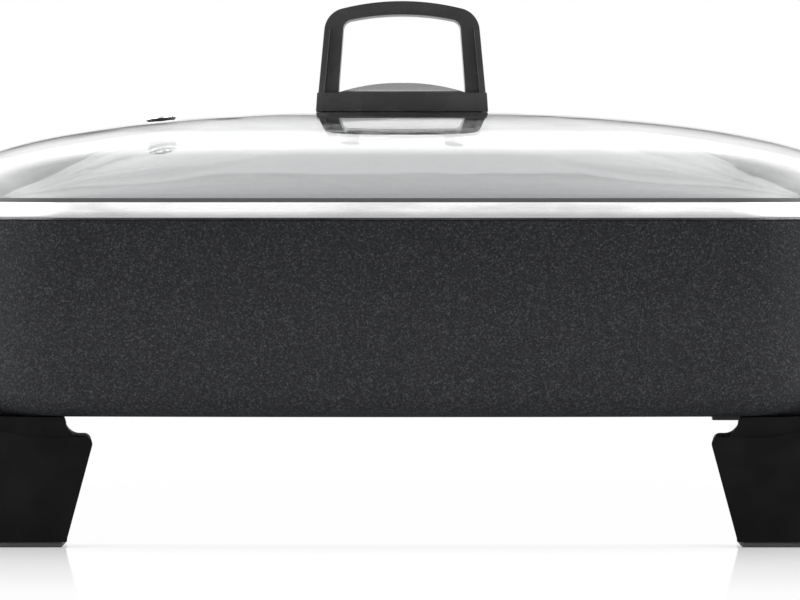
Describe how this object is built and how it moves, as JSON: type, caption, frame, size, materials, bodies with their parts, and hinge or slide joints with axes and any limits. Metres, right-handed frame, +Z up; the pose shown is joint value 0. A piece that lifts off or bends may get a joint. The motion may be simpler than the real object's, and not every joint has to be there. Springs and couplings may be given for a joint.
{
  "type": "electric skillet",
  "caption": "Rectangular electric skillet: coated pan on moulded handle-and-leg frames, lift-off domed glass lid, and a plug-in heat control with a dial.",
  "frame": {"origin": "the point on the table under the middle of the pan, level with the bottoms of the feet", "axes": "+X towards the right-hand end, where the heat control plugs in; +Y towards the back; +Z up"},
  "size_m": [0.619, 0.33, 0.2482],
  "materials": {
    "nonstick_coating": "charcoal non-stick coating with a fine metallic sparkle",
    "element_sheath": "heat-dulled sheath",
    "plated_pin": "nickel plated",
    "phenolic": "semi-gloss black moulding",
    "zinc_steel": "zinc plated",
    "foot_rubber": "matte black rubber",
    "lid_steel": "polished stainless",
    "seal_rubber": "black silicone",
    "lid_glass": "clear tempered glass",
    "vent_chrome": "polished chrome",
    "handle_black": "satin black moulding",
    "control_black": "fine textured black moulding",
    "insulator": "unglazed insulator",
    "contact_brass": "spring brass",
    "red_lens": "clear red lens",
    "dial_black": "black dial with plain white numbers"
  },
  "bodies": {
    "base": {"pan": "nonstick_coating", "heating_element": "element_sheath", "terminal_pins": "plated_pin", "probe_sleeve": "plated_pin", "terminal_guard": "phenolic", "guard_screws": "zinc_steel", "left_handle_legs": "phenolic", "right_handle_legs": "phenolic", "leg_screws": "zinc_steel", "leg_washers": "zinc_steel", "foot_pads": "foot_rubber"},
    "lid": {"lid_rim": "lid_steel", "lid_seal": "seal_rubber", "lid_glass": "lid_glass", "steam_vent_eyelet": "vent_chrome", "steam_vent_gasket": "seal_rubber", "lid_handle_gasket": "seal_rubber", "lid_handle_base": "handle_black", "lid_handle_grip": "handle_black", "lid_handle_plate": "lid_steel", "lid_handle_screws": "zinc_steel"},
    "heat_control": {"probe_housing_lower": "control_black", "probe_housing_upper": "control_black", "probe_screws": "zinc_steel", "contact_block": "insulator", "contact_sleeves": "contact_brass", "sensor_rod": "plated_pin", "thermostat_base": "zinc_steel", "bimetal_strip": "contact_brass", "contact_blade": "contact_brass", "cord_gland": "foot_rubber", "indicator_lens": "red_lens"},
    "dial": {"control_dial": "dial_black", "dial_shaft": "zinc_steel", "thermostat_cam": "insulator"}
  },
  "joints": [
    {"name": "lid_lift", "type": "slide", "parent": "base", "child": "lid", "axis": [0, 0, 1], "range_m": [0, 0.12]},
    {"name": "heat_control_pull", "type": "slide", "parent": "base", "child": "heat_control", "axis": [1, 0, 0], "range_m": [0, 0.09]},
    {"name": "dial_turn", "type": "hinge", "parent": "heat_control", "child": "dial", "pos_m": [0.3, 0, 0.07], "axis": [0, 0, 1], "range_deg": [-280, 0]}
  ]
}
